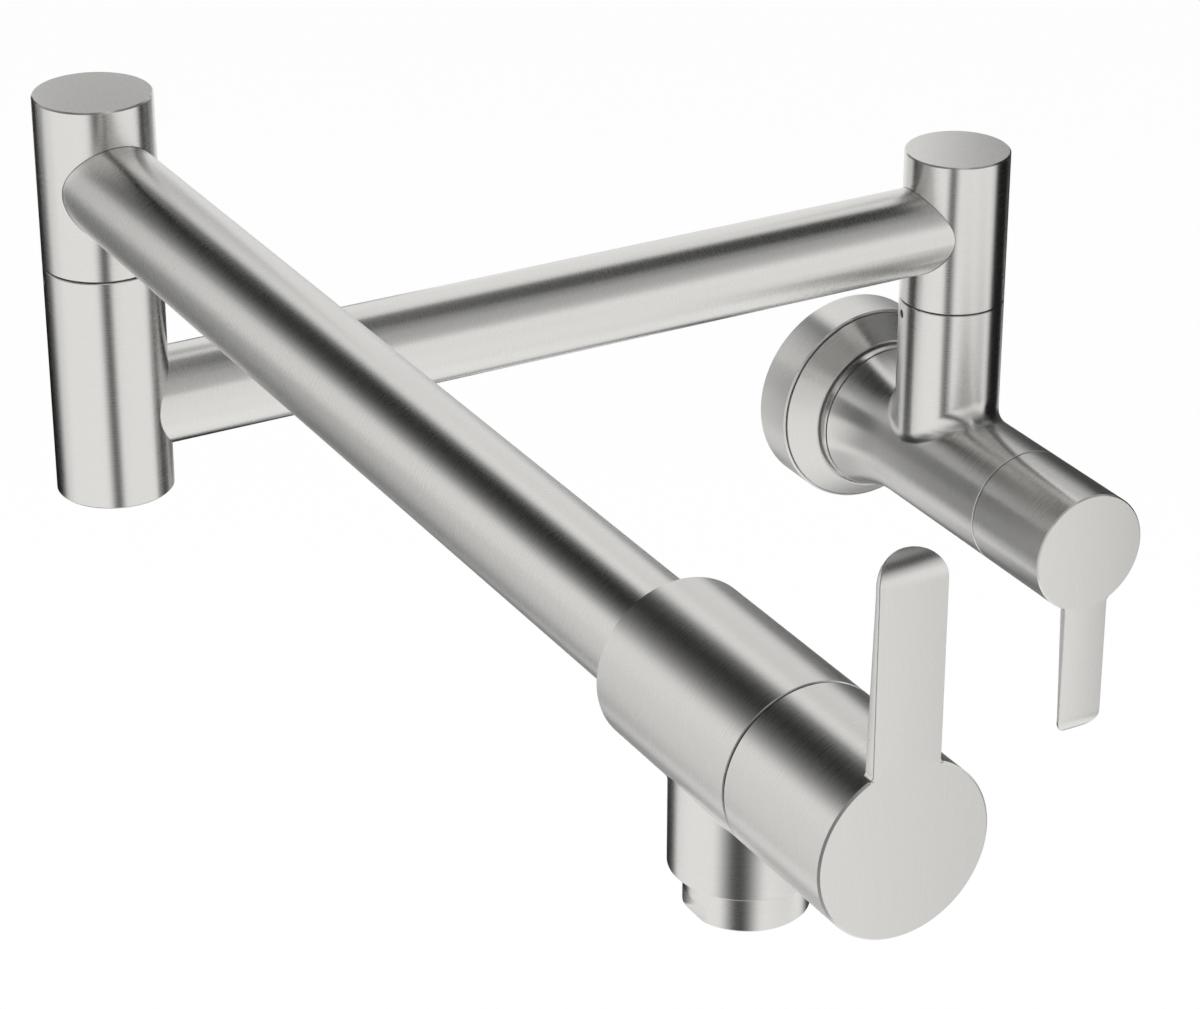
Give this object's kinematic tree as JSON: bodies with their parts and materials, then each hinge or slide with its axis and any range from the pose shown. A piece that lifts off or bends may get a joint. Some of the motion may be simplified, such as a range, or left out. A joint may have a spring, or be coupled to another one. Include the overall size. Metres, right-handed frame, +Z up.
{
  "type": "wall mounted pot filler",
  "caption": "Double-jointed wall mounted pot filler: flange and valve at the wall, two swinging tube arms on posts, and an outlet valve with a straight spout and aerator.",
  "frame": {"origin": "on the wall plane, at the centre of the threaded inlet and of the flange", "axes": "+X right along the wall, +Y into the wall, +Z up"},
  "size_m": [0.3045, 0.4195, 0.2505],
  "materials": {
    "brushed_metal": "satin, brushed around the axis",
    "tube_metal": "satin, brushed",
    "lever_metal": "satin, brushed",
    "brass_turned": "turned",
    "ceramic_lapped": "lapped",
    "rubber_black": "matte",
    "rubber_gasket": "matte",
    "plastic_white": "matte",
    "plastic_insert": "matte",
    "steel_screw": "as made",
    "strainer_steel": "as made"
  },
  "bodies": {
    "wall_unit": {"wall_flange": "brushed_metal", "flange_gasket": "rubber_gasket", "valve_body": "brushed_metal", "inlet_strainer": "strainer_steel", "rear_seat_seal": "rubber_black", "rear_fixed_disc": "ceramic_lapped", "rear_bonnet": "brass_turned", "rear_bonnet_o_ring": "rubber_black", "rear_guide_ring": "plastic_white", "post_1_slide_ring": "plastic_white", "post_1_grub_screw": "steel_screw"},
    "rear_handle": {"rear_handle": "lever_metal", "rear_spindle": "brass_turned", "rear_moving_disc": "ceramic_lapped", "rear_spindle_o_rings": "rubber_black", "rear_spindle_clip": "steel_screw", "rear_handle_screw": "steel_screw"},
    "arm_1": {"post_1_upper": "brushed_metal", "post_1_spigot": "brass_turned", "post_1_o_rings": "rubber_black", "arm_1_tube": "tube_metal", "post_2_lower": "brushed_metal", "post_2_slide_ring": "plastic_white", "post_2_grub_screw": "steel_screw"},
    "arm_2": {"post_2_upper": "brushed_metal", "post_2_spigot": "brass_turned", "post_2_o_rings": "rubber_black", "arm_2_tube": "tube_metal", "outlet_body": "brushed_metal", "front_seat_seal": "rubber_black", "front_fixed_disc": "ceramic_lapped", "front_bonnet": "brass_turned", "front_bonnet_o_ring": "rubber_black", "front_guide_ring": "plastic_white", "aerator_housing": "brushed_metal", "aerator_insert": "plastic_insert", "aerator_washer": "rubber_black"},
    "front_handle": {"front_handle": "lever_metal", "front_spindle": "brass_turned", "front_moving_disc": "ceramic_lapped", "front_spindle_o_rings": "rubber_black", "front_spindle_clip": "steel_screw", "front_handle_screw": "steel_screw"}
  },
  "joints": [
    {"name": "rear_handle_turn", "type": "hinge", "parent": "wall_unit", "child": "rear_handle", "pos_m": [0, -0.0945, 0], "axis": [0, -1, 0], "range_deg": [0, 90]},
    {"name": "arm_1_swivel", "type": "hinge", "parent": "wall_unit", "child": "arm_1", "pos_m": [0, -0.054, 0.0505], "axis": [0, 0, 1], "range_deg": [0, 180]},
    {"name": "arm_2_swivel", "type": "hinge", "parent": "arm_1", "child": "arm_2", "pos_m": [-0.257, -0.054, 0.113], "axis": [0, 0, 1], "continuous": true},
    {"name": "front_handle_turn", "type": "hinge", "parent": "arm_2", "child": "front_handle", "pos_m": [-0.257, -0.3875, 0.1355], "axis": [0, -1, 0], "range_deg": [0, 90]}
  ]
}
